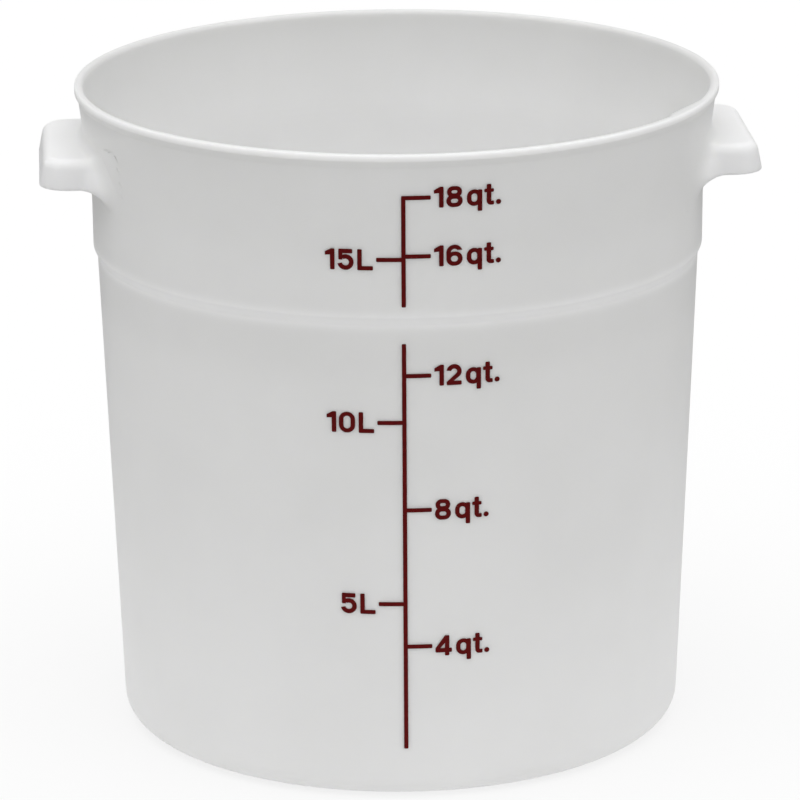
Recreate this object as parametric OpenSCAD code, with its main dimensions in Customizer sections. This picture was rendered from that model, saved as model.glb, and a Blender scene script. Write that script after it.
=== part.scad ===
// Round dough proofing container of natural white plastic, open at the top, with two moulded
// handles and a printed scale. Millimetres, +Z up, origin at the middle of the base.
// The scale faces -Y and the handles point along X.

/* [Tub] */
// Outer diameter across the rim bead
rim_d = 307; // [270:0.2:340]
// Height over all
height = 315; // [280:0.5:380]
// Thickness of the wall
wall = 3.3; // [2.4:0.1:4.2]
// Draft of the body wall below the step, degrees
body_draft = 2.2; // [1:0.1:4]
// Radius of the corner where the body wall meets the base
corner_r = 11.5; // [8:0.5:18]

/* [Rim and band] */
// Height of the rim bead's face
bead_h = 3.2; // [2.8:0.1:7]
// How far the bead stands out from the wall
bead_lip = 1.3; // [1:0.1:3]
// Height over which the wall swells out below the bead
bead_blend = 3.2; // [2:0.1:6]
// Height of the band between the bead and the step
band_h = 74.8; // [65:0.1:85]
// Height of the band's upper part, which flares out to the bead
flare_h = 47; // [35:0.5:55]
// Slope of that flare, degrees
flare_draft = 7.2; // [4:0.1:9]
// Radius of the bend where the flare starts
flare_bend_r = 120; // [20:5:150]
// Draft of the band's lower part, degrees
band_draft = 0.3; // [0.1:0.1:3]
// How far the wall steps in below the band
step_in = 1.9; // [1.5:0.1:4]
// Height of the step's slope
step_h = 4; // [3.5:0.1:7]
// How far the land inside the rim reaches inwards
land_in = 2.8; // [1:0.1:4]
// Depth of that land below the rim's top
land_h = 6; // [4:0.1:12]
// Arc of that land, degrees
land_arc = 15; // [5:0.5:30]
// Where the arc starts, degrees round from the front towards +X
land_start = 54; // [30:0.5:60]

/* [Base] */
// Thickness of the floor
floor_t = 3.4; // [2.6:0.1:5]
// How far the middle of the floor is raised above the ring that the tub stands on
recess_h = 7.5; // [3:0.1:9]
// Width of the slope round the raised middle
recess_slope = 4; // [3:0.1:7]
// Width of the flat ring that the tub stands on
foot_w = 10; // [5:0.5:20]

/* [Handles] */
// How far a handle stands out beyond the rim
handle_out = 17.8; // [12:0.1:30]
// Width of a handle along the wall
handle_w = 93; // [75:0.5:120]
// Height of a handle's edge
handle_h = 14; // [11:0.1:20]
// Depth of a handle's top below the rim's top
handle_drop = 26.2; // [20:0.2:36]
// Slope of a handle's edge, degrees
handle_draft = 11.5; // [2:0.5:14]
// Radius of a handle's outer corners along its lower edge
handle_corner_r = 14; // [12:0.5:22]
// Radius of the rounding along a handle's top edge
handle_edge_r = 4; // [1.5:0.1:5]
// Thickness of a handle's top and of its turned-down edge
handle_wall = 3; // [2:0.1:4.5]
// Radius of the upright blend between a handle's ends and the wall
root_r = 8; // [4:0.5:10]
// Radius of the blend between a handle's top and the wall
crest_r = 6; // [3:0.5:9]
// Thickness of a handle's root, between its hollow and the wall
root_t = 7; // [4:0.5:9]
// Radius of the blend below a handle, down onto the wall
skirt_r = 6; // [3:0.5:7]

/* [Scale] */
// Angle from midway between the handles round to the printed line, degrees
scale_turn = -3; // [-10:0.1:10]
// Thickness of the ink
print_t = 0.2; // [0.1:0.05:0.5]
// Clearance between the wall and the ink
print_gap = 0.02; // [0.01:0.01:0.1]
// Width of the printed line and ticks
line_w = 2; // [1.2:0.1:3]
// Distance from the middle of the line to the end of a tick
tick_len = 12.4; // [6:0.1:16]
// Gap between a tick and its figures
label_gap = 1.4; // [0.8:0.1:4]
// Height of the figures
figure_h = 10; // [8.5:0.1:12]
// Stroke width of the figures
stroke_w = 2.1; // [1.4:0.05:2.4]
// Height of the lower end of the line
line_low_z = 25.5; // [18:0.5:60]
// Gap in the line below the step
line_gap_low = 8.6; // [4:0.1:14]
// Gap in the line above the step
line_gap_high = 5.3; // [2:0.1:16]
// Depth of the 18 quart mark below the rim's top
quart_18_drop = 20.6; // [16:0.1:34]
// Depth of the 16 quart mark below the rim's top
quart_16_drop = 48.8; // [42:0.1:60]
// Depth of the 15 litre mark below the rim's top
litre_15_drop = 50.3; // [30:0.1:60]
// Depth of the 12 quart mark below the step
quart_12_drop = 24; // [18:0.1:40]
// Depth of the 10 litre mark below the step
litre_10_drop = 46.5; // [30:0.1:80]
// Depth of the 8 quart mark below the step
quart_8_drop = 89.1; // [70:0.1:120]
// Depth of the 5 litre mark below the step
litre_5_drop = 135.2; // [110:0.1:180]
// Depth of the 4 quart mark below the step
quart_4_drop = 156.4; // [140:0.1:180]

/* [Hidden] */
$fn = 96;

plastic = [0.93, 0.93, 0.92];
ink = [0.34, 0.10, 0.09];

// Small roundings
bead_edge_r = 0.8;
bead_top_r = 1.2;
rim_inner_r = 2.4;
blend_r = 2.5;
step_r = 2;
recess_edge_r = 2;
line_end_r = 0.55;

// How far a hull's slices and the skirt lap into what they join
hollow_lap = 1;
skirt_lap = 1;

// Radii and heights of the wall's outer face, from the rim down
rim_r = rim_d / 2;
bead_z = height - bead_h;
band_top_r = rim_r - bead_lip;
flare_z = bead_z - flare_h;
flare_r = band_top_r - flare_h * tan(flare_draft);
step_top_z = bead_z - band_h;
band_low_r = flare_r - (flare_z - step_top_z) * tan(band_draft);
step_low_z = step_top_z - step_h;
body_top_r = band_low_r - step_in;
base_r = body_top_r - step_low_z * tan(body_draft);

// The inner face keeps the wall's thickness, up to the top of the rim
inner_top_r = band_top_r + bead_h * tan(flare_draft) - wall;
inner_base_r = base_r + floor_t * tan(body_draft) - wall;

// The raised middle of the floor, and how far its slope moves out to keep the floor's thickness
recess_foot_r = base_r - corner_r / tan(45 + body_draft / 2) - foot_w;
recess_r = recess_foot_r - recess_slope;
recess_pitch = recess_h / recess_slope;
recess_shift = floor_t * (norm([1, recess_pitch]) - 1) / recess_pitch;

// The handle at +X, and how far its edge leans in over its height
handle_r = rim_r + handle_out;
handle_half = handle_w / 2;
handle_top_z = height - handle_drop;
handle_low_z = handle_top_z - handle_h;
handle_lean = handle_h * tan(handle_draft);
// Where the handle's outlines start, well inside the wall that they are cut by
handle_from = base_r / 2;

function unit(v) = v / norm(v);
// Radius of the band's outer face at height z within the flare
function flare_r_at(z) = band_top_r - (bead_z - z) * tan(flare_draft);

// A closed outline from points [x, y, radius], counter-clockwise, with true arcs at its corners
module rounded_outline(p) {
    n = len(p);
    function at(i) = [p[(i + n) % n][0], p[(i + n) % n][1]];
    function back(i) = unit(at(i - 1) - at(i));
    function ahead(i) = unit(at(i + 1) - at(i));
    function half_angle(i) = acos(back(i) * ahead(i)) / 2;
    function tangent(i) = p[i][2] / tan(half_angle(i));
    function enter(i) = at(i) + back(i) * tangent(i);
    function leave(i) = at(i) + ahead(i) * tangent(i);
    function centre(i) = at(i) + unit(back(i) + ahead(i)) * p[i][2] / sin(half_angle(i));
    function convex(i) = ahead(i)[0] * back(i)[1] - ahead(i)[1] * back(i)[0] > 0;
    module corner(i) intersection() {
        translate(centre(i)) circle(r = p[i][2]);
        polygon([enter(i), at(i), leave(i)]);
    }
    difference() {
        union() {
            polygon([for (i = [0:n - 1]) each p[i][2] > 0 ? [enter(i), leave(i)] : [at(i)]]);
            for (i = [0:n - 1]) if (p[i][2] > 0 && convex(i)) corner(i);
        }
        for (i = [0:n - 1]) if (p[i][2] > 0 && !convex(i)) corner(i);
    }
}

// Points up the outside of the wall, moved out by extra
function outer_points(extra) = [
    [base_r + extra, 0, corner_r],
    [body_top_r + extra, step_low_z, step_r],
    [band_low_r + extra, step_top_z, step_r],
    [flare_r + extra, flare_z, flare_bend_r],
    [flare_r_at(bead_z - bead_blend) + extra, bead_z - bead_blend, blend_r],
    [rim_r + extra, bead_z, bead_edge_r]];

// Points down the inside of the wall and across the floor
inner_points = [
    [inner_top_r, height, rim_inner_r],
    [flare_r - wall, flare_z, flare_bend_r],
    [band_low_r - wall, step_top_z, step_r],
    [body_top_r - wall, step_low_z, step_r],
    [inner_base_r, floor_t, corner_r - wall],
    [recess_foot_r + recess_shift, floor_t, recess_edge_r],
    [recess_r + recess_shift, recess_h + floor_t, recess_edge_r],
    [0, recess_h + floor_t, 0]];

// Half section of the tub: out along the underside, up the wall and back down the inside
module tub_section() rounded_outline(concat(
    [[0, recess_h, 0], [recess_r, recess_h, recess_edge_r], [recess_foot_r, 0, recess_edge_r]],
    outer_points(0), [[rim_r, height, bead_top_r]], inner_points));

// Half section of all that lies within the wall's outer face, moved out by extra
module filled_section(extra) rounded_outline(concat(
    [[0, 0, 0]], outer_points(extra), [[rim_r + extra, height, 0], [0, height, 0]]));

// A short land that widens the top of the rim inwards and slopes back to the wall below
module rim_land() {
    land_r = inner_top_r - land_in;
    seat_r = inner_top_r + wall / 2;
    rotate(land_start - 90) rotate_extrude(angle = land_arc) rounded_outline([
        [seat_r, height - land_h, 0], [seat_r, height, 0],
        [land_r, height, rim_inner_r / 2], [land_r, height - land_h / 3, rim_inner_r / 2]]);
}

module tub() color(plastic) {
    rotate_extrude() tub_section();
    rim_land();
}

// Section across an edge of the handle: its side leans in and its top edge is rounded
module edge_section(depth, tall, edge_r) rounded_outline([
    [-depth, 0, 0], [0, 0, 0], [-tall * tan(handle_draft), tall, edge_r], [-depth, tall, 0]]);

// The handle's outer form, with sides that lean in all round
module handle_block() translate([0, 0, handle_low_z]) hull()
    for (x = [handle_from, handle_r - handle_corner_r], side = [0, 1]) mirror([0, side, 0])
        translate([x, handle_half - handle_corner_r]) rotate_extrude($fn = 32)
            translate([handle_corner_r, 0]) edge_section(handle_corner_r, handle_h, handle_edge_r);

// Plan of the hollow at a height above the handle's lower edge
module hollow_plan(z) {
    inset = handle_wall / cos(handle_draft) + z * tan(handle_draft);
    corner = handle_corner_r - inset;
    translate([handle_from, inset - handle_half]) square([corner, 2 * (handle_half - inset)]);
    for (side = [-1, 1])
        translate([handle_r - handle_corner_r, side * (handle_half - handle_corner_r)])
            circle(r = corner, $fn = 32);
}

// The hollow under the handle, open downwards, that leaves a thick root along the wall
module handle_hollow() difference() {
    translate([0, 0, handle_low_z]) hull() {
        translate([0, 0, -hollow_lap]) linear_extrude(hollow_lap) hollow_plan(0);
        translate([0, 0, handle_h - handle_wall - hollow_lap]) linear_extrude(hollow_lap)
            hollow_plan(handle_h - handle_wall);
    }
    cylinder(r = flare_r_at(handle_low_z) + root_t, h = height);
}

// Upright blend between the end of the handle and the wall
module handle_root() {
    wall_r = flare_r_at(handle_low_z);
    end_y = handle_half - handle_lean;
    centre_y = end_y + root_r;
    centre_x = sqrt(pow(wall_r + root_r, 2) - pow(centre_y, 2));
    touch = unit([centre_x, centre_y]) * wall_r;
    translate([0, 0, handle_low_z]) linear_extrude(handle_h - handle_edge_r) difference() {
        polygon([[handle_from, end_y - handle_wall], [centre_x, end_y - handle_wall],
            [centre_x, end_y], touch, [handle_from, end_y]]);
        translate([centre_x, centre_y]) circle(r = root_r);
    }
}

// Blend below the handle, down onto the wall, let a little way into the handle's root
module handle_skirt() {
    blend_x = flare_r_at(handle_low_z) + skirt_r;
    reach = asin((handle_half - skirt_lap) / blend_x);
    rotate(-reach) rotate_extrude(angle = 2 * reach) difference() {
        translate([handle_from, handle_low_z - skirt_r])
            square([blend_x - handle_from, skirt_r + skirt_lap]);
        translate([blend_x, handle_low_z - skirt_r]) circle(r = skirt_r);
    }
}

// Blend between the handle's top and the wall above it
module handle_crest() {
    blend_x = flare_r_at(handle_top_z) + crest_r;
    reach = asin((handle_half - handle_lean - handle_edge_r) / blend_x);
    rotate(-reach) rotate_extrude(angle = 2 * reach) difference() {
        translate([handle_from, handle_top_z - handle_wall])
            square([blend_x - handle_from, crest_r + handle_wall]);
        translate([blend_x, handle_top_z + crest_r]) circle(r = crest_r);
    }
}

// A whole handle, cut to meet the outer face of the wall
module handle() color(plastic) difference() {
    union() {
        difference() {
            handle_block();
            handle_hollow();
        }
        handle_crest();
        handle_skirt();
        for (side = [0, 1]) mirror([0, side, 0]) handle_root();
    }
    rotate_extrude() filled_section(0);
}
module handle_right() handle();
module handle_left() rotate(180) handle();

// The figures are drawn 10 units tall on a baseline at y = 0, and scaled to their height
figure_unit = figure_h / 10;
weight = stroke_w / figure_unit;
nib_r = weight / 4;
function glyph_w(c) = c == "1" ? 4.4 : c == "t" ? 4.5 : c == "." ? 2.4 : c == "q" ? 7 : c == "L" ? 7.1
    : c == "2" ? 6.9 : c == "4" ? 7.7 : 7.4;
function glyph_gap(c) = c == "q" ? 1.9 : c == "t" ? 0.9 : c == "." ? 0.8 : c == "L" ? 1.6 : 1.2;

module pill(width, tall) {
    r = min(width, tall) / 2;
    middle = width > tall ? [width / 2 - r, 0] : [0, tall / 2 - r];
    square(width > tall ? [2 * middle[0], tall] : [width, 2 * middle[1]], center = true);
    for (side = [-1, 1]) translate(side * middle) circle(r = r);
}
module bowl(width, tall) difference() {
    pill(width, tall);
    pill(width - 2 * weight, tall - 1.85 * weight);
}
// A stroke round the origin, r to its outer side, from one angle on to another
module arc_stroke(r, from, to) {
    steps = 6;
    intersection() {
        difference() {
            circle(r = r);
            circle(r = r - weight);
        }
        polygon([[0, 0],
            for (i = [0:steps]) let (a = from + (to - from) * i / steps) 2 * r * [cos(a), sin(a)]]);
    }
}

module figure_0() translate([glyph_w("0") / 2, 5]) bowl(glyph_w("0"), 10);
module figure_1() {
    right = glyph_w("1");
    left = right - weight;
    flag = 0.75 * weight;
    rounded_outline([[left, 0, nib_r], [right, 0, nib_r], [right, 10, nib_r], [right - flag, 10, 0],
        [0, 8.4, 0], [0, 8.4 - flag, 0], [left, 8.6 - flag, 0]]);
}
module figure_2() {
    right = glyph_w("2");
    r = right / 2;
    foot = 0.95 * weight;
    end = -50;
    lap = 0.04;
    function on_bend(r) = [right / 2 + r * cos(end + 4), 10 - right / 2 + r * sin(end + 4), 0];
    translate([r, 10 - r]) arc_stroke(r, end, 172);
    rounded_outline([[0, 0, nib_r], [right, 0, nib_r], [right, foot, nib_r], [1.5 * weight, foot, 0],
        on_bend(r - lap), on_bend(r - weight + lap), [0, 0.75 * weight, 0]]);
}
module figure_4() {
    right = glyph_w("4");
    stem = right - 1.2;
    bar_low = 1.65;
    bar_top = bar_low + weight;
    difference() {
        rounded_outline([[stem - weight, 0, nib_r], [stem, 0, nib_r], [stem, bar_low, 0],
            [right, bar_low, nib_r], [right, bar_top, nib_r], [stem, bar_top, 0],
            [stem, 10, nib_r], [stem - weight, 10, 0], [0, bar_top, 0],
            [0, bar_low, nib_r], [stem - weight, bar_low, 0]]);
        polygon([[1.1 * weight, bar_top], [stem - weight, bar_top], [stem - weight, 10 - 1.75 * weight]]);
    }
}
module figure_5() {
    right = glyph_w("5");
    r = right / 2;
    left = 0.5;
    low = 4.8;
    translate([r, r]) arc_stroke(r, -168, 125);
    rounded_outline([[left, low, nib_r], [left + 0.9 * weight, low, 0],
        [left + 0.9 * weight, 10 - weight, 0], [right - 0.6, 10 - weight, nib_r],
        [right - 0.6, 10, nib_r], [left, 10, nib_r]]);
}
module figure_6() {
    right = glyph_w("6");
    low_h = 6.7;
    cut_y = 7.4;
    translate([right, low_h] / 2) bowl(right, low_h);
    intersection() {
        figure_0();
        polygon([[0, low_h / 2], [right / 2, low_h / 2], [right / 2, cut_y],
            [right, cut_y], [right, 10], [0, 10]]);
    }
}
module figure_8() {
    right = glyph_w("8");
    low_h = 5.9;
    high_h = 5.4;
    translate([right / 2, low_h / 2]) bowl(right, low_h);
    translate([right / 2, 10 - high_h / 2]) bowl(0.92 * right, high_h);
}
module letter_q() {
    right = glyph_w("q");
    x_height = 7.9;
    bowl_w = right - 0.2;
    translate([bowl_w, x_height] / 2) bowl(bowl_w, x_height);
    rounded_outline([[right - weight, -2.6, nib_r], [right, -2.6, nib_r], [right, x_height - 0.2, nib_r],
        [right - weight, x_height - 0.2, nib_r]]);
}
module letter_t() {
    right = glyph_w("t");
    left = 1.1;
    stem = left + weight;
    bar_top = 7.8;
    bar_low = bar_top - 0.8 * weight;
    foot = 0.9 * weight;
    rounded_outline([[left, 0, foot], [right, 0, nib_r], [right, foot, nib_r], [stem, foot, 0],
        [stem, bar_low, 0], [right - 0.1, bar_low, nib_r], [right - 0.1, bar_top, nib_r],
        [stem, bar_top, 0], [stem, 10, nib_r], [left, 10, nib_r], [left, bar_top, 0],
        [0, bar_top, nib_r], [0, bar_low, nib_r], [left, bar_low, 0]]);
}
module letter_l() {
    right = glyph_w("L");
    rounded_outline([[0, 0, nib_r], [right, 0, nib_r], [right, 0.95 * weight, nib_r],
        [weight, 0.95 * weight, 0], [weight, 10, nib_r], [0, 10, nib_r]]);
}
module full_stop() translate([glyph_w("."), glyph_w(".")] / 2) circle(d = glyph_w("."));

module glyph(c) {
    if (c == "0") figure_0();
    if (c == "1") figure_1();
    if (c == "2") figure_2();
    if (c == "4") figure_4();
    if (c == "5") figure_5();
    if (c == "6") figure_6();
    if (c == "8") figure_8();
    if (c == "q") letter_q();
    if (c == "t") letter_t();
    if (c == "L") letter_l();
    if (c == ".") full_stop();
}
function label_x(s, i) = i == 0 ? 0 : label_x(s, i - 1) + glyph_w(s[i - 1]) + glyph_gap(s[i]);
function label_w(s) = figure_unit * (label_x(s, len(s) - 1) + glyph_w(s[len(s) - 1]));
module label(s) scale(figure_unit) for (i = [0:len(s) - 1]) translate([label_x(s, i), -5]) glyph(s[i]);

// Ink on the wall's outer face, from a flat drawing in x and z that is projected onto the front
module printed() color(ink) intersection() {
    rotate(scale_turn) translate([0, -base_r / 2, 0]) rotate([90, 0, 0]) linear_extrude(rim_r) children();
    rotate_extrude() difference() {
        filled_section(print_gap + print_t);
        filled_section(print_gap);
    }
}

// A tick from the line's edge outwards, to the right
module tick() rounded_outline([[line_w / 2, -line_w / 2, 0], [tick_len, -line_w / 2, line_end_r],
    [tick_len, line_w / 2, line_end_r], [line_w / 2, line_w / 2, 0]]);

// A tick with its label, to the right of the line for quarts and to the left for litres
module quart_mark(z, quarts) printed() translate([0, z]) {
    tick();
    translate([tick_len + label_gap, 0]) label(quarts);
}
module litre_mark(z, litres) printed() translate([0, z]) {
    mirror([1, 0]) tick();
    translate([-tick_len - label_gap - label_w(litres), 0]) label(litres);
}
// A stretch of the upright line, with its upper right corner square where a tick takes over
module scale_line(low_z, top_z, top_right_r) printed() rounded_outline([
    [-line_w / 2, low_z, line_end_r], [line_w / 2, low_z, line_end_r],
    [line_w / 2, top_z, top_right_r], [-line_w / 2, top_z, line_end_r]]);

module scale_line_upper() scale_line(step_top_z + line_gap_high, height - quart_18_drop + line_w / 2, 0);
module scale_line_lower() scale_line(line_low_z, step_low_z - line_gap_low, line_end_r);
module quart_mark_18() quart_mark(height - quart_18_drop, "18qt.");
module quart_mark_16() quart_mark(height - quart_16_drop, "16qt.");
module quart_mark_12() quart_mark(step_low_z - quart_12_drop, "12qt.");
module quart_mark_8() quart_mark(step_low_z - quart_8_drop, "8qt.");
module quart_mark_4() quart_mark(step_low_z - quart_4_drop, "4qt.");
module litre_mark_15() litre_mark(height - litre_15_drop, "15L");
module litre_mark_10() litre_mark(step_low_z - litre_10_drop, "10L");
module litre_mark_5() litre_mark(step_low_z - litre_5_drop, "5L");

tub();
handle_left();
handle_right();
scale_line_upper();
scale_line_lower();
quart_mark_18();
quart_mark_16();
quart_mark_12();
quart_mark_8();
quart_mark_4();
litre_mark_15();
litre_mark_10();
litre_mark_5();
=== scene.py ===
"""Looks of a round dough proofing container of natural white plastic with two moulded handles and a printed scale.

The tub is turned from its half section by Geometry Nodes, and the handles are moulded onto its wall, so that
all of the plastic is one closed skin, as on the real moulding. Metres, +Z up, the scale faces -Y.
"""

import math
from itertools import product

import bmesh
import bpy
import numpy as np
from bpy.props import FloatProperty, FloatVectorProperty, IntProperty, PointerProperty
from mathutils import Matrix, Vector


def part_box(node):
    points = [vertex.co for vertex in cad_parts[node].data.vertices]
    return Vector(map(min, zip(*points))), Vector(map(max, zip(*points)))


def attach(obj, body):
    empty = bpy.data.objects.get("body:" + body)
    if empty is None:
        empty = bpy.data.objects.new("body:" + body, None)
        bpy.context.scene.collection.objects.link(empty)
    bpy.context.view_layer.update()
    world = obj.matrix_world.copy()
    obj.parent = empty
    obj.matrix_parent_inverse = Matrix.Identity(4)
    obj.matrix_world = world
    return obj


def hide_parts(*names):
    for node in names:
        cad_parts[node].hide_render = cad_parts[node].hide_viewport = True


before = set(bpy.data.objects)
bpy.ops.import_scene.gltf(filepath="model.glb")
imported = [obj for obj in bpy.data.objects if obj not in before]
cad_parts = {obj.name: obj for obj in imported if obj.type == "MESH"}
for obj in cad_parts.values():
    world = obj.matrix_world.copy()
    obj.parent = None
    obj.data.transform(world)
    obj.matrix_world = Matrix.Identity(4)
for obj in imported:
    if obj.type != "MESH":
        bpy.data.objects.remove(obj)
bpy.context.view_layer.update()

bl_info = {
    "name": "Dough Proofing Container",
    "version": (1, 0, 0),
    "blender": (4, 5, 0),
    "location": "View3D > Sidebar > Container",
    "description": "Builds a moulded plastic food container with handles and a printed scale",
    "category": "Object",
}

TUB_LOW, TUB_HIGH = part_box("tub")
HANDLE_LOW, HANDLE_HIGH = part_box("handle_right")
INK_NODES = sorted(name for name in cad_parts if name.startswith(("scale_line", "quart_mark", "litre_mark")))
TUB_NAME = "moulded_tub"


class TubSizes(bpy.types.PropertyGroup):
    """Sizes of the round tub."""

    rim_radius: FloatProperty(
        name="Rim radius", description="Outer radius across the rim bead",
        default=TUB_HIGH.x, unit="LENGTH")
    height: FloatProperty(
        name="Height", description="Height over all",
        default=TUB_HIGH.z, unit="LENGTH")
    wall: FloatProperty(
        name="Wall", description="Thickness of the wall",
        default=0.0033, unit="LENGTH")
    body_draft: FloatProperty(
        name="Body draft", description="Slope of the wall below the step",
        default=math.radians(2.2), subtype="ANGLE")
    band_draft: FloatProperty(
        name="Band draft", description="Slope of the band's lower part",
        default=math.radians(0.3), subtype="ANGLE")
    flare_height: FloatProperty(
        name="Flare height", description="Height of the band's upper part, which flares out to the bead",
        default=0.047, unit="LENGTH")
    flare_draft: FloatProperty(
        name="Flare draft", description="Slope of the flare",
        default=math.radians(7.2), subtype="ANGLE")
    flare_bend: FloatProperty(
        name="Flare bend", description="Radius of the bend where the flare starts",
        default=0.12, unit="LENGTH")
    corner_radius: FloatProperty(
        name="Corner radius", description="Radius of the corner between the wall and the base",
        default=0.0115, unit="LENGTH")
    bead_height: FloatProperty(
        name="Bead height", description="Height of the rim bead's face",
        default=0.0032, unit="LENGTH")
    bead_lip: FloatProperty(
        name="Bead lip", description="How far the bead stands out from the wall",
        default=0.0013, unit="LENGTH")
    bead_blend: FloatProperty(
        name="Bead blend", description="Height over which the wall swells out below the bead",
        default=0.0032, unit="LENGTH")
    band_height: FloatProperty(
        name="Band height", description="Height of the band between the bead and the step",
        default=0.0748, unit="LENGTH")
    step_in: FloatProperty(
        name="Step", description="How far the wall steps in below the band",
        default=0.0019, unit="LENGTH")
    step_height: FloatProperty(
        name="Step height", description="Height of the step's slope",
        default=0.004, unit="LENGTH")
    floor: FloatProperty(
        name="Floor", description="Thickness of the floor",
        default=0.0034, unit="LENGTH")
    recess_height: FloatProperty(
        name="Recess height", description="How far the middle of the floor is raised",
        default=0.0075, unit="LENGTH")
    recess_slope: FloatProperty(
        name="Recess slope", description="Width of the slope round the raised middle",
        default=0.004, unit="LENGTH")
    foot_width: FloatProperty(
        name="Foot width", description="Width of the flat ring that the tub stands on",
        default=0.010, unit="LENGTH")
    land_inset: FloatProperty(
        name="Land inset", description="How far the short land inside the rim reaches inwards",
        default=0.0028, unit="LENGTH")
    land_depth: FloatProperty(
        name="Land depth", description="Depth of the land below the top of the rim",
        default=0.006, unit="LENGTH")
    land_start: FloatProperty(
        name="Land start", description="Where the land starts, round from the front towards +X",
        default=math.radians(54), subtype="ANGLE")
    land_arc: FloatProperty(
        name="Land arc", description="Angle that the land takes up",
        default=math.radians(15), subtype="ANGLE")
    sides: IntProperty(
        name="Sides", description="Steps round the tub", default=240, min=36)


class HandleSizes(bpy.types.PropertyGroup):
    """Sizes of the two moulded handles."""

    reach: FloatProperty(
        name="Reach", description="Distance from the tub's axis to a handle's edge",
        default=HANDLE_HIGH.x, unit="LENGTH")
    width: FloatProperty(
        name="Width", description="Width of a handle along the wall",
        default=0.093, unit="LENGTH")
    height: FloatProperty(
        name="Height", description="Height of a handle's turned-down edge",
        default=0.014, unit="LENGTH")
    lean: FloatProperty(
        name="Lean", description="Slope of a handle's sides",
        default=math.radians(11.5), subtype="ANGLE")
    drop: FloatProperty(
        name="Drop", description="Depth of a handle's top below the rim",
        default=0.0262, unit="LENGTH")
    corner_radius: FloatProperty(
        name="Corner radius", description="Radius of the outer corners along the lower edge",
        default=0.014, unit="LENGTH")
    edge_radius: FloatProperty(
        name="Edge radius", description="Radius of the rounding along the top edge",
        default=0.004, unit="LENGTH")
    wall: FloatProperty(
        name="Wall", description="Thickness of the top and of the turned-down edge",
        default=0.003, unit="LENGTH")
    lip_radius: FloatProperty(
        name="Lip radius", description="Radius of the rounding along the lower edge",
        default=0.0008, unit="LENGTH")
    root: FloatProperty(
        name="Root", description="Thickness of a handle's root, between its hollow and the wall",
        default=0.007, unit="LENGTH")
    spread: FloatProperty(
        name="Spread", description="How far the ends of a handle spread out where they meet the wall",
        default=0.0035, unit="LENGTH")
    fillet: FloatProperty(
        name="Fillet", description="Radius of the blend between a handle and the wall",
        default=0.006, unit="LENGTH")
    gusset: FloatProperty(
        name="Gusset", description="How much larger the blend is below a handle's ends",
        default=0.006, unit="LENGTH")
    inner_fillet: FloatProperty(
        name="Inner fillet", description="Radius of the blends inside the hollow under a handle",
        default=0.0015, unit="LENGTH")
    grain: FloatProperty(
        name="Mesh step", description="Distance between the points of a handle's mesh",
        default=0.00095, unit="LENGTH")


class Finishes(bpy.types.PropertyGroup):
    """Colours of the plastic, the ink and the floor."""

    plastic: FloatVectorProperty(
        name="Plastic", description="Colour of the natural white polyethylene",
        default=(0.78, 0.78, 0.777), size=3, min=0, max=1, subtype="COLOR")
    ink: FloatVectorProperty(
        name="Ink", description="Colour of the printed scale",
        default=(0.102, 0.0018, 0.0018), size=3, min=0, max=1, subtype="COLOR")
    floor: FloatVectorProperty(
        name="Floor", description="Colour of the studio floor",
        default=(0.86, 0.86, 0.86), size=3, min=0, max=1, subtype="COLOR")


class StudioSettings(bpy.types.PropertyGroup):
    """Light and camera of the studio."""

    overhead: FloatProperty(
        name="Overhead", description="Strength of the sky light from straight above", default=1.85)
    horizon: FloatProperty(
        name="Horizon", description="Strength of the sky light from the horizon", default=0.5)
    narrowing: FloatProperty(
        name="Narrowing", description="How closely the sky light gathers overhead", default=2)
    frontal: FloatProperty(
        name="Frontal", description="How much the sky is brighter in front of the tub than at its sides",
        default=0.25)
    glow: FloatProperty(
        name="Glow", description="Share of the floor that is lit from below, like a light table",
        default=0.7, subtype="FACTOR")
    near_glow: FloatProperty(
        name="Near glow", description="Strength of the floor's own light round the tub", default=0.95)
    far_glow: FloatProperty(
        name="Far glow", description="Strength of the floor's own light far from the tub", default=0.2)
    azimuth: FloatProperty(
        name="Azimuth", description="Angle of the camera round from the front towards +X",
        default=math.radians(-4), subtype="ANGLE")
    elevation: FloatProperty(
        name="Elevation", description="Angle of the camera above the horizon",
        default=math.radians(16.78), subtype="ANGLE")
    distance: FloatProperty(
        name="Distance", description="Distance from the camera to the point it looks at",
        default=2.4292, unit="LENGTH")
    aim_side: FloatProperty(
        name="Aim to the side", description="How far the view's middle lies to the right of the tub's axis",
        default=0.00055, unit="LENGTH")
    aim_height: FloatProperty(
        name="Aim height", description="Height of the point that the camera looks at",
        default=0.15448, unit="LENGTH")
    roll: FloatProperty(
        name="Roll", description="Turn of the camera about its own axis",
        default=math.radians(-0.4), subtype="ANGLE")
    lens: FloatProperty(
        name="Focal length", description="Focal length of the lens",
        default=225, subtype="DISTANCE_CAMERA")


def add(tree, kind, *values, **settings):
    """A new node: settings are its own options and values its inputs in order, with None to skip one."""
    node = tree.nodes.new(kind)
    for name, value in settings.items():
        setattr(node, name, value)
    for socket, value in zip(node.inputs, values):
        if isinstance(value, bpy.types.NodeSocket):
            tree.links.new(value, socket)
        elif value is not None:
            socket.default_value = value
    return node


def calculate(tree, operation, *values):
    """The output of a maths node."""
    return add(tree, "ShaderNodeMath", *values, operation=operation).outputs[0]


def empty_material(name):
    """A material with no nodes but its output."""
    material = bpy.data.materials.new(name)
    material.use_nodes = True
    material.node_tree.nodes.clear()
    return material, add(material.node_tree, "ShaderNodeOutputMaterial")


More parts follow.
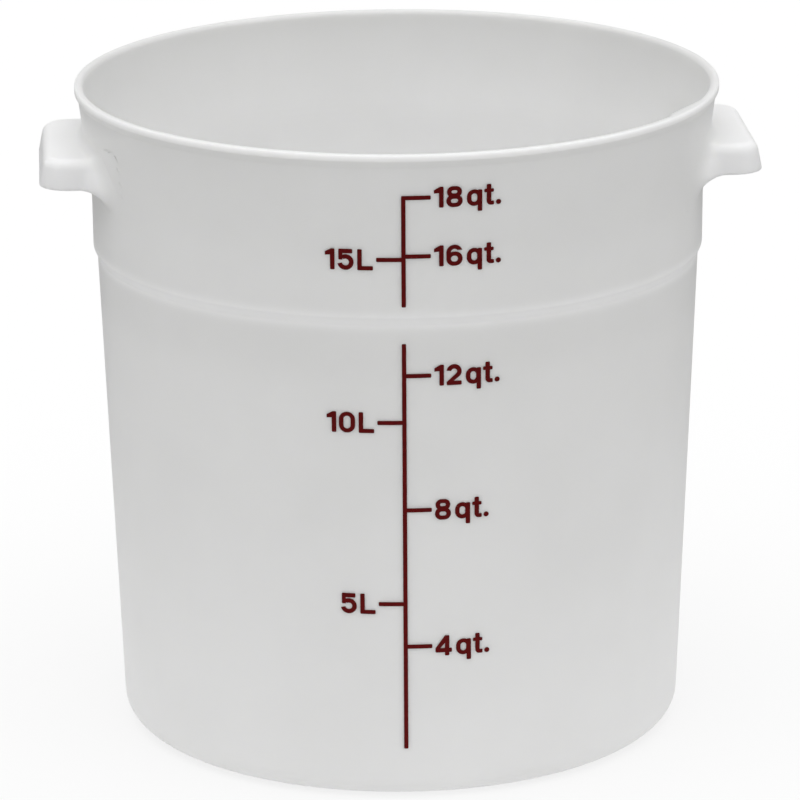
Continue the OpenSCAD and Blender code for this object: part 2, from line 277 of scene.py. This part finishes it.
def polyethylene(colour, ledge):
    """Natural white moulded polyethylene: soft and translucent, with the mould's fine grain.

    A painted highlight makes the colour paler along the step's height, with painted shade a little darker just below
    it, and painted light and shade stored at each point of the moulding scale the colour as well.
    """
    material, output = empty_material("polyethylene")
    tree = material.node_tree
    place = add(tree, "ShaderNodeTexCoord").outputs["Object"]
    clouds = add(tree, "ShaderNodeTexNoise", place)
    clouds.inputs["Scale"].default_value = 14
    clouds.inputs["Detail"].default_value = 3
    tint = add(tree, "ShaderNodeValToRGB", clouds.outputs["Fac"])
    tint.color_ramp.elements[0].position = 0.35
    tint.color_ramp.elements[0].color = (*(c * 0.985 for c in colour), 1)
    tint.color_ramp.elements[1].position = 0.65
    tint.color_ramp.elements[1].color = (*(min(1, c * 1.015) for c in colour), 1)
    height = add(tree, "ShaderNodeSeparateXYZ", place).outputs["Z"]
    # Painted highlight: a narrow band paler at the step's height. Painted shade: a wider, fainter band darker just
    # below it.
    off = calculate(tree, "DIVIDE", calculate(tree, "SUBTRACT", height, ledge), 0.0036)
    above = calculate(tree, "POWER", math.e, calculate(tree, "MULTIPLY", calculate(tree, "MULTIPLY", off, off), -1))
    low = calculate(tree, "DIVIDE", calculate(tree, "SUBTRACT", height, ledge - 0.016), 0.014)
    below = calculate(tree, "POWER", math.e, calculate(tree, "MULTIPLY", calculate(tree, "MULTIPLY", low, low), -1))
    # The colour is scaled by the painted highlight and shade at the step and by the painted light and shade stored at
    # each point.
    through = calculate(tree, "ADD", add(tree, "ShaderNodeAttribute", attribute_name="painted_light").outputs["Fac"], 1)
    painted_light_gain = calculate(tree, "MULTIPLY_ADD", above, 0.24, calculate(tree, "MULTIPLY_ADD", below, -0.035, through))
    body = add(tree, "ShaderNodeVectorMath", tint.outputs["Color"], operation="SCALE")
    tree.links.new(painted_light_gain, body.inputs["Scale"])
    flow = add(tree, "ShaderNodeTexNoise", place)
    flow.inputs["Scale"].default_value = 38
    flow.inputs["Detail"].default_value = 2
    grain = add(tree, "ShaderNodeTexNoise", place)
    grain.inputs["Scale"].default_value = 1900
    grain.inputs["Detail"].default_value = 2
    waves = add(tree, "ShaderNodeBump", 1, 0.00012)
    tree.links.new(flow.outputs["Fac"], waves.inputs["Height"])
    pits = add(tree, "ShaderNodeBump", 0.35, 0.00003)
    tree.links.new(grain.outputs["Fac"], pits.inputs["Height"])
    tree.links.new(waves.outputs["Normal"], pits.inputs["Normal"])
    sheen = add(tree, "ShaderNodeMapRange", flow.outputs["Fac"], 0.3, 0.7, 0.36, 0.46).outputs[0]
    plastic = add(tree, "ShaderNodeBsdfPrincipled")
    tree.links.new(body.outputs["Vector"], plastic.inputs["Base Color"])
    tree.links.new(sheen, plastic.inputs["Roughness"])
    tree.links.new(pits.outputs["Normal"], plastic.inputs["Normal"])
    plastic.inputs["IOR"].default_value = 1.5
    plastic.inputs["Specular IOR Level"].default_value = 0.3
    plastic.inputs["Subsurface Weight"].default_value = 1
    plastic.inputs["Subsurface Radius"].default_value = (1, 1, 0.95)
    plastic.inputs["Subsurface Scale"].default_value = 0.008
    tree.links.new(plastic.outputs[0], output.inputs["Surface"])
    return material


def scale_ink(colour):
    """Dark red printing ink, a little uneven where it lies on the grain of the plastic."""
    material, output = empty_material("scale_ink")
    tree = material.node_tree
    place = add(tree, "ShaderNodeTexCoord").outputs["Object"]
    blotches = add(tree, "ShaderNodeTexNoise", place)
    blotches.inputs["Scale"].default_value = 420
    blotches.inputs["Detail"].default_value = 3
    tint = add(tree, "ShaderNodeValToRGB", blotches.outputs["Fac"])
    tint.color_ramp.elements[0].position = 0.3
    tint.color_ramp.elements[0].color = (*(c * 0.86 for c in colour), 1)
    tint.color_ramp.elements[1].position = 0.72
    tint.color_ramp.elements[1].color = (*(c * 1.18 for c in colour), 1)
    film = add(tree, "ShaderNodeBump", 0.3, 0.00003)
    tree.links.new(blotches.outputs["Fac"], film.inputs["Height"])
    ink = add(tree, "ShaderNodeBsdfPrincipled")
    tree.links.new(tint.outputs["Color"], ink.inputs["Base Color"])
    tree.links.new(film.outputs["Normal"], ink.inputs["Normal"])
    ink.inputs["Roughness"].default_value = 0.6
    ink.inputs["Specular IOR Level"].default_value = 0.1
    tree.links.new(ink.outputs[0], output.inputs["Surface"])
    return material


def flare_bend(sizes):
    """The bend's ends and middle (radius, height), between the band's steep lower part and its flare."""
    low, high, bend = sizes.band_draft, sizes.flare_draft, sizes.flare_bend
    reach = bend * math.tan((high - low) / 2)
    corner = np.array((
        sizes.rim_radius - sizes.bead_lip - sizes.flare_height * math.tan(high),
        sizes.height - sizes.bead_height - sizes.flare_height))
    start = corner - reach * np.array((math.sin(low), math.cos(low)))
    end = corner + reach * np.array((math.sin(high), math.cos(high)))
    return start, end, start + bend * np.array((math.cos(low), -math.sin(low)))


def band_radius(sizes, z):
    """Radius of the band's outer face at a height."""
    start, end, middle = flare_bend(sizes)
    below = start[0] + (z - start[1]) * math.tan(sizes.band_draft)
    above = end[0] + (z - end[1]) * math.tan(sizes.flare_draft)
    curved = middle[0] - np.sqrt(np.maximum(sizes.flare_bend ** 2 - (z - middle[1]) ** 2, 0))
    return np.where(z < start[1], below, np.where(z < end[1], curved, above))


def footing(sizes, handle):
    """Lowest and highest level of the stretch of wall that a handle's blends take up."""
    margin = 0.003
    top = sizes.height - handle.drop
    return top - handle.height - handle.gusset - handle.fillet - margin, top + handle.fillet + margin


def half_section(sizes, handle):
    """Corners (radius, height, rounding) out along the underside, up the wall and back down the inside."""
    bead_z = sizes.height - sizes.bead_height
    step_top = bead_z - sizes.band_height
    step_low = step_top - sizes.step_height
    band_low = float(band_radius(sizes, step_top))
    body_top = band_low - sizes.step_in
    base = body_top - step_low * math.tan(sizes.body_draft)
    inner_top = float(band_radius(sizes, sizes.height)) - sizes.wall
    inner_base = base + sizes.floor * math.tan(sizes.body_draft) - sizes.wall
    recess_foot = base - sizes.corner_radius / math.tan(math.pi / 4 + sizes.body_draft / 2) - sizes.foot_width
    recess = recess_foot - sizes.recess_slope
    pitch = sizes.recess_height / sizes.recess_slope
    shift = sizes.floor * (math.hypot(1, pitch) - 1) / pitch
    swell_z = bead_z - sizes.bead_blend
    start, end, _ = flare_bend(sizes)
    levels = sorted([*np.linspace(start[1], end[1], 7), *footing(sizes, handle)])
    return [
        (0, sizes.recess_height, 0),
        (recess, sizes.recess_height, 0.002),
        (recess_foot, 0, 0.002),
        (base, 0, sizes.corner_radius),
        (body_top, step_low, 0.002),
        (band_low, step_top, 0.002),
        *((float(band_radius(sizes, z)), z, 0) for z in levels),
        (float(band_radius(sizes, swell_z)), swell_z, 0.0025),
        (sizes.rim_radius, bead_z, 0.0008),
        (sizes.rim_radius, sizes.height, 0.0012),
        (inner_top, sizes.height, 0.0024),
        *((float(band_radius(sizes, z)) - sizes.wall, z, 0) for z in np.linspace(end[1], start[1], 5)),
        (band_low - sizes.wall, step_top, 0.002),
        (body_top - sizes.wall, step_low, 0.002),
        (inner_base, sizes.floor, sizes.corner_radius - sizes.wall),
        (recess_foot + shift, sizes.floor, 0.002),
        (recess + shift, sizes.recess_height + sizes.floor, 0.002),
        (0, sizes.recess_height + sizes.floor, 0),
    ]


def outline_points(corners, turn=math.radians(9), guard=0.0006, longest=0.008):
    """Points along an outline: arcs in steps of turn, straight runs in steps of longest between guard points."""
    bends = []
    for i, (r, z, radius) in enumerate(corners):
        here = np.array((r, z))
        if radius == 0:
            bends.append([here])
            continue
        back = np.array(corners[i - 1][:2]) - here
        ahead = np.array(corners[i + 1][:2]) - here
        back, ahead = back / np.linalg.norm(back), ahead / np.linalg.norm(ahead)
        half = math.acos(np.clip(back @ ahead, -1, 1)) / 2
        middle = here + (back + ahead) / np.linalg.norm(back + ahead) * radius / math.sin(half)
        enter, leave = here + back * radius / math.tan(half), here + ahead * radius / math.tan(half)
        start, end = (math.atan2(*(p - middle)[::-1]) for p in (enter, leave))
        sweep = (end - start + math.pi) % (2 * math.pi) - math.pi
        steps = max(2, math.ceil(abs(sweep) / turn))
        angles = start + sweep * np.arange(steps + 1) / steps
        bends.append([middle + radius * np.array((math.cos(a), math.sin(a))) for a in angles])
    points = list(bends[0])
    for bend in bends[1:]:
        start, end = points[-1], bend[0]
        length = np.linalg.norm(end - start)
        if length > 4 * guard:
            steps = math.ceil((length - 2 * guard) / longest)
            for along in guard + (length - 2 * guard) * np.arange(steps + 1) / steps:
                points.append(start + (end - start) * along / length)
        points.extend(bend)
    return np.array(points)


def land_weights(points, sizes):
    """How far each point of the outline moves in with the short land inside the rim, from 0 to 1."""
    middle = band_radius(sizes, sizes.height) - sizes.wall / 2
    inner = np.clip((middle - points[:, 0]) / (sizes.wall / 2), 0, 1)
    depth = sizes.height - points[:, 1]
    level = np.clip((sizes.land_depth - depth) / (sizes.land_depth * 2 / 3), 0, 1)
    return inner * level


def lathe_tree(material):
    """Geometry Nodes that turn a half section about the vertical axis, with a short land inside the rim."""
    tree = bpy.data.node_groups.new("Turned tub", "GeometryNodeTree")
    tree.interface.new_socket("Half section", in_out="INPUT", socket_type="NodeSocketGeometry")
    tree.interface.new_socket("Sides", in_out="INPUT", socket_type="NodeSocketInt")
    for name in ("Land inset", "Land start", "Land arc"):
        tree.interface.new_socket(name, in_out="INPUT", socket_type="NodeSocketFloat")
    tree.interface.new_socket("Tub", in_out="OUTPUT", socket_type="NodeSocketGeometry")
    section, sides, inset, land_start, land_arc = list(add(tree, "NodeGroupInput").outputs)[:5]

    rows = add(tree, "GeometryNodeAttributeDomainSize", section, component="MESH").outputs["Point Count"]
    columns = calculate(tree, "ADD", sides, 1)
    grid = add(tree, "GeometryNodeMeshGrid", 1, 1, rows, columns).outputs["Mesh"]
    index = add(tree, "GeometryNodeInputIndex").outputs[0]
    row = calculate(tree, "FLOOR", calculate(tree, "DIVIDE", calculate(tree, "ADD", index, 0.5), columns))
    column = calculate(tree, "SUBTRACT", index, calculate(tree, "MULTIPLY", row, columns))
    angle = calculate(tree, "DIVIDE", calculate(tree, "MULTIPLY", column, 2 * math.pi), sides)

    place = add(tree, "GeometryNodeInputPosition").outputs[0]
    point = add(tree, "GeometryNodeSampleIndex", section, place, row, data_type="FLOAT_VECTOR").outputs[0]
    radius, _, height = add(tree, "ShaderNodeSeparateXYZ", point).outputs
    weight = add(tree, "GeometryNodeInputNamedAttribute", "land", data_type="FLOAT").outputs[0]
    land = add(tree, "GeometryNodeSampleIndex", section, weight, row, data_type="FLOAT").outputs[0]

    steep_end = calculate(tree, "ADD", land_start, math.radians(1.5))
    slow_start = calculate(tree, "ADD", land_start, calculate(tree, "MULTIPLY", land_arc, 0.4))
    slow_end = calculate(tree, "ADD", land_start, land_arc)
    rise = add(tree, "ShaderNodeMapRange", angle, land_start, steep_end, 0, 1, interpolation_type="SMOOTHSTEP")
    fall = add(tree, "ShaderNodeMapRange", angle, slow_start, slow_end, 1, 0, interpolation_type="SMOOTHSTEP")
    window = calculate(tree, "MULTIPLY", rise.outputs[0], fall.outputs[0])
    moved = calculate(tree, "MULTIPLY", calculate(tree, "MULTIPLY", inset, land), window)
    radius = calculate(tree, "SUBTRACT", radius, moved)

    x = calculate(tree, "MULTIPLY", radius, calculate(tree, "SINE", angle))
    y = calculate(tree, "MULTIPLY", radius, calculate(tree, "COSINE", angle))
    turned = add(tree, "ShaderNodeCombineXYZ", x, calculate(tree, "MULTIPLY", y, -1), height).outputs[0]
    placed = add(tree, "GeometryNodeSetPosition", grid, True, turned).outputs[0]
    closed = add(tree, "GeometryNodeMergeByDistance", placed, True, 1e-6).outputs[0]
    smooth = add(tree, "GeometryNodeSetShadeSmooth", closed, True, True).outputs[0]
    real = add(tree, "GeometryNodeRealizeInstances", smooth).outputs[0]
    finished = add(tree, "GeometryNodeSetMaterial", real, True, material).outputs[0]
    add(tree, "NodeGroupOutput", finished)
    return tree


def set_inputs(modifier, values):
    """Sets a Geometry Nodes modifier's inputs, given by name, through their identifiers."""
    for item in modifier.node_group.interface.items_tree:
        if item.in_out == "INPUT" and item.name in values:
            modifier[item.identifier] = values[item.name]


def freeze(piece):
    """Turns a piece's modifiers into its plain mesh."""
    evaluated = piece.evaluated_get(bpy.context.evaluated_depsgraph_get())
    mesh = bpy.data.meshes.new_from_object(evaluated)
    piece.modifiers.clear()
    piece.data = mesh


def round_union(a, b, radius):
    """Distance to two solids joined with a fillet, from the distances to each."""
    corner = np.hypot(np.maximum(radius - a, 0), np.maximum(radius - b, 0))
    return np.maximum(radius, np.minimum(a, b)) - corner


def round_overlap(a, b, radius):
    """Distance to what two solids share, with the edge between them rounded."""
    corner = np.hypot(np.maximum(radius + a, 0), np.maximum(radius + b, 0))
    return np.minimum(-radius, np.maximum(a, b)) + corner


def tongue(x, y, reach, half, corner):
    """Distance in plan to a tongue that points along +X, with round outer corners."""
    along, across = x - (reach - corner), np.abs(y) - (half - corner)
    outside = np.hypot(np.maximum(along, 0), np.maximum(across, 0))
    return outside + np.minimum(np.maximum(along, across), 0) - corner


def handle_field(points, sizes, handle):
    """Distance to the wall with the handle at +X: a tray turned upside down and blended into the band."""
    x, y, z = np.moveaxis(points, -1, 0)
    top = sizes.height - handle.drop
    low = top - handle.height
    wall = (np.hypot(x, y) - band_radius(sizes, z)) * math.cos(sizes.flare_draft)
    side = tongue(x, y, handle.reach, handle.width / 2, handle.corner_radius)
    side = (side + (z - low) * math.tan(handle.lean)) * math.cos(handle.lean)
    hollow = round_overlap(side + handle.wall, z - (top - handle.wall), handle.inner_fillet)
    hollow = round_overlap(hollow, handle.root - wall, handle.inner_fillet)
    near = np.clip(1 - wall / (3 * handle.spread), 0, 1)
    roof = round_overlap(side - handle.spread * near * near, z - top, handle.edge_radius)
    outside = round_overlap(roof, low - z, handle.lip_radius)
    tray = round_overlap(outside, -hollow, handle.lip_radius)
    ends = np.clip((np.abs(y) - handle.width / 2) / 0.016 + 1, 0, 1)
    below = np.clip((top - z) / handle.height, 0, 1)
    larger = (ends * below) ** 2 * (3 - 2 * ends) * (3 - 2 * below)
    return round_union(tray, wall, handle.fillet + handle.gusset * larger)


def surface_net(field, low, high, grain):
    """Points and four-sided faces of a field's zero surface in a box, open where the box cuts it."""
    counts = np.ceil((high - low) / grain).astype(int) + 1
    steps = (high - low) / (counts - 1)
    axes = [np.linspace(low[i], high[i], counts[i]) for i in range(3)]
    samples = np.stack(np.meshgrid(*axes, indexing="ij"), -1)
    value = field(samples)
    inside = value < 0
    cells = counts - 1
    total, hits = np.zeros((*cells, 3)), np.zeros(cells)
    for axis in range(3):
        along = np.eye(3, dtype=int)[axis]
        for side in product((0, 1), repeat=2):
            corner = np.insert(side, axis, 0)
            near = tuple(slice(c, c + n) for c, n in zip(corner, cells))
            far = tuple(slice(c, c + n) for c, n in zip(corner + along, cells))
            crossed = inside[near] != inside[far]
            share = value[near] / np.where(crossed, value[near] - value[far], 1)
            total += np.where(crossed[..., None], samples[near] + share[..., None] * steps * along, 0)
            hits += crossed
    used = hits > 0
    number = np.full(cells, -1)
    number[used] = np.arange(used.sum())
    points = total[used] / hits[used][:, None]
    for _ in range(4):
        nudges = np.eye(3) * 1e-6
        slope = np.stack([field(points + n) - field(points - n) for n in nudges], -1) / 2e-6
        points -= field(points)[:, None] * slope / np.maximum((slope ** 2).sum(-1, keepdims=True), 0.25)
    faces = []
    for axis in range(3):
        along = np.eye(3, dtype=int)[axis]
        first, second = np.delete(np.eye(3, dtype=int), axis, 0)
        start = tuple(slice(1 - a, n) for a, n in zip(along, cells))
        end = tuple(slice(1, n + a) for a, n in zip(along, cells))
        edges = np.argwhere(inside[start] != inside[end]) + (1 - along)
        ring = (edges, edges - first, edges - first - second, edges - second)
        faces.append(np.stack([number[tuple(corner.T)] for corner in ring], -1))
    return points, np.concatenate(faces)


def open_loops(mesh):
    """The loops of vertices round the openings of a bmesh."""
    edges = {edge: True for edge in mesh.edges if edge.is_boundary}
    loops = []
    while edges:
        edge = next(iter(edges))
        del edges[edge]
        first, vert = edge.verts
        loop = [first]
        while vert != first:
            loop.append(vert)
            edge = next(e for e in vert.link_edges if e in edges)
            del edges[edge]
            vert = edge.other_vert(vert)
        loops.append(loop)
    return loops


def sew(mesh, loops, bearing):
    """Closes the strip between two loops with triangles, walking both in step by their bearing."""
    walks = []
    for loop in loops:
        bearings = [bearing(vert) for vert in loop]
        rising = sum(1 if b > a else -1 for a, b in zip(bearings, bearings[1:])) > 0
        if not rising:
            loop, bearings = loop[::-1], bearings[::-1]
        start = bearings.index(min(bearings))
        loop, bearings = loop[start:] + loop[:start], bearings[start:] + bearings[:start]
        walks.append((loop + loop[:1], bearings + [bearings[0] + 2 * math.pi]))
    (left, left_at), (right, right_at) = walks
    i = j = 0
    while i < len(left) - 1 or j < len(right) - 1:
        step_left = j == len(right) - 1 or (i < len(left) - 1 and left_at[i + 1] < right_at[j + 1])
        third = left[i + 1] if step_left else right[j + 1]
        mesh.faces.new((left[i], right[j], third)).smooth = True
        i, j = (i + 1, j) if step_left else (i, j + 1)


def mould_handle(mesh, sizes, handle, turn):
    """Opens the tub's wall where a handle stands, puts the handle's skin there and sews the two together."""
    low, high = footing(sizes, handle)
    middle_r, middle_z = band_radius(sizes, (low + high) / 2), (low + high) / 2
    step = 2 * math.pi / sizes.sides
    end = handle.width / 2 + handle.spread + handle.fillet + handle.gusset + 0.003
    reach = math.ceil(math.asin(end / band_radius(sizes, low)) / step) * step
    heading = Matrix.Rotation(-turn, 3, "Z")

    def bearings(co):
        """Angle from the handle's middle round the axis, and height above the footing's middle."""
        there = heading @ co
        return math.atan2(there.y, there.x), co.z - middle_z

    def in_footing(face):
        """Whether a face of the tub lies in the stretch of outer wall that the handle takes up."""
        co = face.calc_center_median()
        if not (low < co.z < high and co.xy.length > band_radius(sizes, co.z) - sizes.wall / 2):
            return False
        return abs(bearings(co)[0]) < reach

    bmesh.ops.delete(mesh, geom=[face for face in mesh.faces if in_footing(face)], context="FACES")
    half = band_radius(sizes, low) * math.sin(reach) - 0.002
    inner_x = math.sqrt(band_radius(sizes, low) ** 2 - half ** 2) - 0.002
    box_low = np.array((inner_x, -half, low + 0.0015))
    box_high = np.array((handle.reach + 2 * handle.grain, half, high - 0.0015))
    points, faces = surface_net(lambda p: handle_field(p, sizes, handle), box_low, box_high, handle.grain)
    points = points @ np.array(heading)
    verts = [mesh.verts.new(point) for point in points]
    for face in faces:
        mesh.faces.new([verts[i] for i in face]).smooth = True
    loops = open_loops(mesh)
    if len(loops) != 2:
        raise RuntimeError(f"a handle's skin and the wall should leave two loops, and there are {len(loops)}")

    def round_middle(vert):
        turned, risen = bearings(vert.co)
        return math.atan2(risen / (high - low), turned * middle_r / (2 * half))

    sew(mesh, loops, round_middle)


def keep_one_material(mesh):
    """Leaves the plastic as a mesh's only material, so that faces added later have it too."""
    plastic = next(material for material in mesh.materials if material is not None)
    mesh.materials.clear()
    mesh.materials.append(plastic)
    mesh.polygons.foreach_set("material_index", np.zeros(len(mesh.polygons), np.int32))


def paint_light_and_shade(mesh, sizes, handle):
    """Stores painted light and shade at each point: how much paler or darker the plastic's colour is made there."""
    places, normals = (np.empty(3 * len(mesh.vertices), np.float32) for _ in range(2))
    mesh.vertices.foreach_get("co", places)
    mesh.vertices.foreach_get("normal", normals)
    (x, y, z), (nx, ny, nz) = places.reshape(-1, 3).T, normals.reshape(-1, 3).T
    radius = np.hypot(x, y)
    outward = (x * nx + y * ny) / np.maximum(radius, 1e-6)
    depth = sizes.height - z
    # Painted shade on the inner wall near the rim, turning to painted light deeper down.
    inside = np.clip(-outward, 0, 1) * (0.27 * np.clip(depth / 0.075, 0, 1) - 0.13)
    bead = np.clip((sizes.bead_height - depth) / 0.001, 0, 1)
    # Painted highlight on the bead's outer face and painted shade on its top.
    rim = bead * (0.2 * np.clip(outward, 0, 1) - 0.15 * np.clip(nz, 0, 1))
    # Painted light on the handles' faces and blends, stronger below their tops.
    handle_painted_light = np.clip((radius - band_radius(sizes, z)) / 0.004, 0, 1) * np.clip((depth - handle.drop) / 0.002 + 2, 0, 1)
    handle_painted_light *= 0.09 + 0.09 * np.clip((depth - handle.drop) / 0.006, 0, 1)
    layer = mesh.attributes.new("painted_light", "FLOAT", "POINT")
    layer.data.foreach_set("value", (inside + rim + handle_painted_light).astype(np.float32))


class OBJECT_OT_container_tub(bpy.types.Operator):
    """Turns the tub from its half section"""

    bl_idname = "object.container_tub"
    bl_label = "Turn the tub"

    def execute(self, context):
        sizes, handle = context.scene.container_tub, context.scene.container_handles
        points = outline_points(half_section(sizes, handle))
        mesh = bpy.data.meshes.new(TUB_NAME)
        mesh.from_pydata([(r, 0, z) for r, z in points], [(i, i + 1) for i in range(len(points) - 1)], [])
        weights = mesh.attributes.new("land", "FLOAT", "POINT")
        weights.data.foreach_set("value", land_weights(points, sizes).astype(np.float32))
        tub = bpy.data.objects.new(TUB_NAME, mesh)
        context.scene.collection.objects.link(tub)
        lathe = tub.modifiers.new("Turned tub", "NODES")
        # Height of the step's middle, where the plastic gets its painted highlight.
        ledge = sizes.height - sizes.bead_height - sizes.band_height - sizes.step_height / 2
        lathe.node_group = lathe_tree(polyethylene(context.scene.container_finishes.plastic, ledge))
        set_inputs(lathe, {
            "Sides": sizes.sides, "Land inset": sizes.land_inset,
            "Land start": sizes.land_start, "Land arc": sizes.land_arc})
        freeze(tub)
        if len(tub.data.polygons) < sizes.sides:
            raise RuntimeError("the tub's Geometry Nodes made no surface")
        keep_one_material(tub.data)
        return {"FINISHED"}


class OBJECT_OT_container_handles(bpy.types.Operator):
    """Moulds the two handles onto the tub's wall, hangs the whole moulding on the root body and hides the CAD tub and
    handles
    """

    bl_idname = "object.container_handles"
    bl_label = "Mould the handles"

    def execute(self, context):
        sizes, handle = context.scene.container_tub, context.scene.container_handles
        tub = bpy.data.objects.get(TUB_NAME)
        if tub is None:
            raise RuntimeError("turn the tub before moulding its handles")
        mesh = bmesh.new()
        mesh.from_mesh(tub.data)
        for turn in (0, math.pi):
            mould_handle(mesh, sizes, handle, turn)
        bmesh.ops.recalc_face_normals(mesh, faces=mesh.faces)
        if mesh.calc_volume(signed=True) < 0:
            bmesh.ops.reverse_faces(mesh, faces=mesh.faces)
        mesh.to_mesh(tub.data)
        mesh.free()
        # Paints light and shade into the plastic's colour at each point of the moulding.
        paint_light_and_shade(tub.data, sizes, handle)
        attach(tub, "root")
        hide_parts("tub", "handle_left", "handle_right")
        return {"FINISHED"}


class OBJECT_OT_container_scale(bpy.types.Operator):
    """Gives the printed scale its ink"""

    bl_idname = "object.container_scale"
    bl_label = "Ink the scale"

    def execute(self, context):
        ink = scale_ink(context.scene.container_finishes.ink)
        for name in INK_NODES:
            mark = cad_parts[name]
            for slot in mark.material_slots:
                slot.link = "OBJECT"
                slot.material = ink
        return {"FINISHED"}


class OBJECT_OT_container_studio(bpy.types.Operator):
    """Sets up the studio: floor, soft light and camera"""

    bl_idname = "object.container_studio"
    bl_label = "Set up the studio"

    def execute(self, context):
        studio = context.scene.container_studio
        make_floor(context.scene, studio)
        light_world(context.scene, studio)
        place_camera(context.scene, studio)
        context.scene.view_settings.view_transform = "Standard"
        return {"FINISHED"}


def make_floor(scene, studio):
    """A wide pale floor, lit from below as well, that shows near white and keeps the container's soft shadow."""
    material, output = empty_material("studio_floor")
    tree = material.node_tree
    path = add(tree, "ShaderNodeLightPath")
    seen = path.outputs["Is Camera Ray"]
    place = add(tree, "ShaderNodeTexCoord").outputs["Object"]
    distance = add(tree, "ShaderNodeVectorMath", place, operation="LENGTH").outputs["Value"]
    around = add(tree, "ShaderNodeMapRange", distance, 0.2, 0.7, studio.near_glow, studio.far_glow)
    strength = add(tree, "ShaderNodeMix", seen, None, around.outputs[0], 1).outputs[0]
    albedo = add(tree, "ShaderNodeMix", seen, None, 0.5, scene.container_finishes.floor[0]).outputs[0]
    matt = add(tree, "ShaderNodeBsdfDiffuse", albedo).outputs[0]
    glow = add(tree, "ShaderNodeEmission", (1, 1, 1, 1), strength).outputs[0]
    tree.links.new(add(tree, "ShaderNodeMixShader", studio.glow, matt, glow).outputs[0], output.inputs["Surface"])
    mesh = bpy.data.meshes.new("studio_floor")
    half = 12
    mesh.from_pydata([(-half, -half, 0), (half, -half, 0), (half, half, 0), (-half, half, 0)], [], [(0, 1, 2, 3)])
    mesh.materials.append(material)
    floor = bpy.data.objects.new("studio_floor", mesh)
    scene.collection.objects.link(floor)


def light_world(scene, studio):
    """An even sky that is brightest overhead, and plain white where it is seen directly."""
    world = bpy.data.worlds.new("studio_sky")
    scene.world = world
    world.use_nodes = True
    tree = world.node_tree
    tree.nodes.clear()
    direction = add(tree, "ShaderNodeTexCoord").outputs["Generated"]
    up = add(tree, "ShaderNodeSeparateXYZ", direction).outputs["Z"]
    height = calculate(tree, "POWER", calculate(tree, "MAXIMUM", up, 0), studio.narrowing)
    strength = add(tree, "ShaderNodeMapRange", height, 0, 1, studio.horizon, studio.overhead).outputs[0]
    ahead = add(tree, "ShaderNodeSeparateXYZ", direction).outputs["Y"]
    strength = calculate(tree, "MULTIPLY", strength, calculate(tree, "MULTIPLY_ADD", ahead, -studio.frontal, 1))
    sky = add(tree, "ShaderNodeBackground", (1, 1, 1, 1), strength).outputs[0]
    white = add(tree, "ShaderNodeBackground", (1, 1, 1, 1), 1).outputs[0]
    seen = add(tree, "ShaderNodeLightPath").outputs["Is Camera Ray"]
    shown = add(tree, "ShaderNodeMixShader", seen, sky, white).outputs[0]
    add(tree, "ShaderNodeOutputWorld", shown)


def place_camera(scene, studio):
    """A long lens at the photograph's angle."""
    azimuth, elevation = studio.azimuth, studio.elevation
    back = Vector((math.sin(azimuth) * math.cos(elevation), -math.cos(azimuth) * math.cos(elevation),
                   math.sin(elevation)))
    aim = Vector((math.cos(azimuth), math.sin(azimuth), 0)) * studio.aim_side + Vector((0, 0, studio.aim_height))
    data = bpy.data.cameras.new("camera")
    data.lens = studio.lens
    data.sensor_width = 36
    data.clip_start, data.clip_end = 0.1, 100
    camera = bpy.data.objects.new("camera", data)
    turn = (-back).to_track_quat("-Z", "Y").to_matrix() @ Matrix.Rotation(studio.roll, 3, "Z")
    camera.matrix_world = Matrix.Translation(aim + back * studio.distance) @ turn.to_4x4()
    scene.collection.objects.link(camera)
    scene.camera = camera


class VIEW3D_PT_container(bpy.types.Panel):
    """Shows the container's buttons and settings in the sidebar"""

    bl_label = "Dough proofing container"
    bl_idname = "VIEW3D_PT_container"
    bl_space_type = "VIEW_3D"
    bl_region_type = "UI"
    bl_category = "Container"

    def draw(self, context):
        for operator in OPERATORS:
            self.layout.operator(operator.bl_idname)
        for name, group in SETTINGS.items():
            box = self.layout.box()
            for setting in group.__annotations__:
                box.prop(getattr(context.scene, name), setting)


SETTINGS = {
    "container_tub": TubSizes,
    "container_handles": HandleSizes,
    "container_finishes": Finishes,
    "container_studio": StudioSettings,
}
OPERATORS = (
    OBJECT_OT_container_tub,
    OBJECT_OT_container_handles,
    OBJECT_OT_container_scale,
    OBJECT_OT_container_studio,
)
CLASSES = (*SETTINGS.values(), *OPERATORS, VIEW3D_PT_container)


def register():
    for item in CLASSES:
        bpy.utils.register_class(item)
    for name, group in SETTINGS.items():
        setattr(bpy.types.Scene, name, PointerProperty(type=group))


def unregister():
    for name in SETTINGS:
        delattr(bpy.types.Scene, name)
    for item in reversed(CLASSES):
        bpy.utils.unregister_class(item)


def main():
    register()
    bpy.ops.object.container_tub()
    bpy.ops.object.container_handles()
    bpy.ops.object.container_scale()
    bpy.ops.object.container_studio()


if __name__ == "__main__":
    main()
